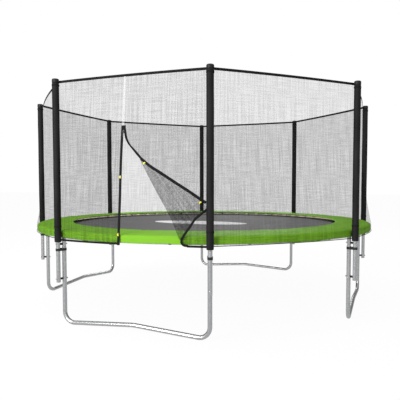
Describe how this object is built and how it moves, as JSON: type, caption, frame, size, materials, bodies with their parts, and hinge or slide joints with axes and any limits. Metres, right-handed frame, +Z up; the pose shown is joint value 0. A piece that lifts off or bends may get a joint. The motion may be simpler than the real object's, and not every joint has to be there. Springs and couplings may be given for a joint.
{
  "type": "trampoline",
  "caption": "Round garden trampoline: springs and a padded steel rail on bent tube legs, with padded poles carrying a zipped safety net.",
  "frame": {"origin": "on the ground under the middle of the mat", "axes": "+Z up, +Y away from the doorway, +X to the right seen from the doorway"},
  "size_m": [3.678, 3.6889, 2.1599],
  "materials": {
    "galvanised_tube": "galvanised, satin",
    "pole_foam": "black vinyl over foam",
    "black_plastic": "moulded, matt",
    "clamp_band": "black coated band",
    "zinc_fastener": "zinc plated",
    "zinc_spring": "zinc plated wire",
    "mat_weave": "woven polypropylene",
    "black_webbing": "woven webbing",
    "pad_vinyl": "lime green coated vinyl",
    "pad_core": "closed-cell foam",
    "net_mesh": "fine knitted mesh",
    "zip_metal": "black enamelled",
    "yellow_clip": "moulded"
  },
  "bodies": {
    "frame": {"door_clips": "yellow_clip", "foam_sleeve_1": "pole_foam", "foam_sleeve_2": "pole_foam", "foam_sleeve_3": "pole_foam", "foam_sleeve_4": "pole_foam", "foam_sleeve_5": "pole_foam", "foam_sleeve_6": "pole_foam", "foam_sleeve_7": "pole_foam", "foam_sleeve_8": "pole_foam", "leg_back": "galvanised_tube", "leg_front": "galvanised_tube", "leg_left": "galvanised_tube", "leg_right": "galvanised_tube", "net_bottom_hem": "black_webbing", "net_front_left": "net_mesh", "net_front_right": "net_mesh", "net_pole_loops": "black_webbing", "net_side_panels": "net_mesh", "net_top_hem": "black_webbing", "pad_cover": "pad_vinyl", "pad_foam": "pad_core", "pad_ties": "black_webbing", "pole_bolts": "zinc_fastener", "pole_caps": "black_plastic", "pole_lower_1": "galvanised_tube", "pole_lower_2": "galvanised_tube", "pole_lower_3": "galvanised_tube", "pole_lower_4": "galvanised_tube", "pole_lower_5": "galvanised_tube", "pole_lower_6": "galvanised_tube", "pole_lower_7": "galvanised_tube", "pole_lower_8": "galvanised_tube", "pole_nuts": "zinc_fastener", "pole_spacers": "black_plastic", "pole_uppers": "galvanised_tube", "rail_tees": "galvanised_tube", "springs": "zinc_spring", "strap_clamps": "clamp_band", "top_rail_1": "galvanised_tube", "top_rail_2": "galvanised_tube", "top_rail_3": "galvanised_tube", "top_rail_4": "galvanised_tube", "top_rail_5": "galvanised_tube", "top_rail_6": "galvanised_tube", "top_rail_7": "galvanised_tube", "top_rail_8": "galvanised_tube", "zip_tape_left": "black_webbing"},
    "mat": {"jumping_mat": "mat_weave", "mat_edge_band": "black_webbing", "ring_tabs": "black_webbing", "mat_rings": "zinc_spring"},
    "door_flap": {"door_flap": "net_mesh", "zip_tape_flap": "black_webbing", "flap_clips": "yellow_clip"},
    "zip_slider": {"zip_slider": "zip_metal"},
    "zip_pull": {"zip_pull": "zip_metal"}
  },
  "joints": [
    {"name": "mat_bounce", "type": "slide", "parent": "frame", "child": "mat", "axis": [0, 0, 1], "range_m": [-0.15, 0], "stiffness_N_per_m": 5000, "springref_m": 0.03, "deforming": ["springs"]},
    {"name": "door_flap_fold", "type": "hinge", "parent": "frame", "child": "door_flap", "pos_m": [-0.02, -1.802, 1.722], "axis": [0.4809, 0, -0.8767], "range_deg": [0, 180]},
    {"name": "zip_slide", "type": "slide", "parent": "frame", "child": "zip_slider", "axis": [0, -0.0899, -0.996], "range_m": [0, 0.87]},
    {"name": "zip_pull_swing", "type": "hinge", "parent": "zip_slider", "child": "zip_pull", "pos_m": [-0.0205, -1.77308, 1.67814], "axis": [-1, 0, 0], "range_deg": [-4, 170]}
  ]
}
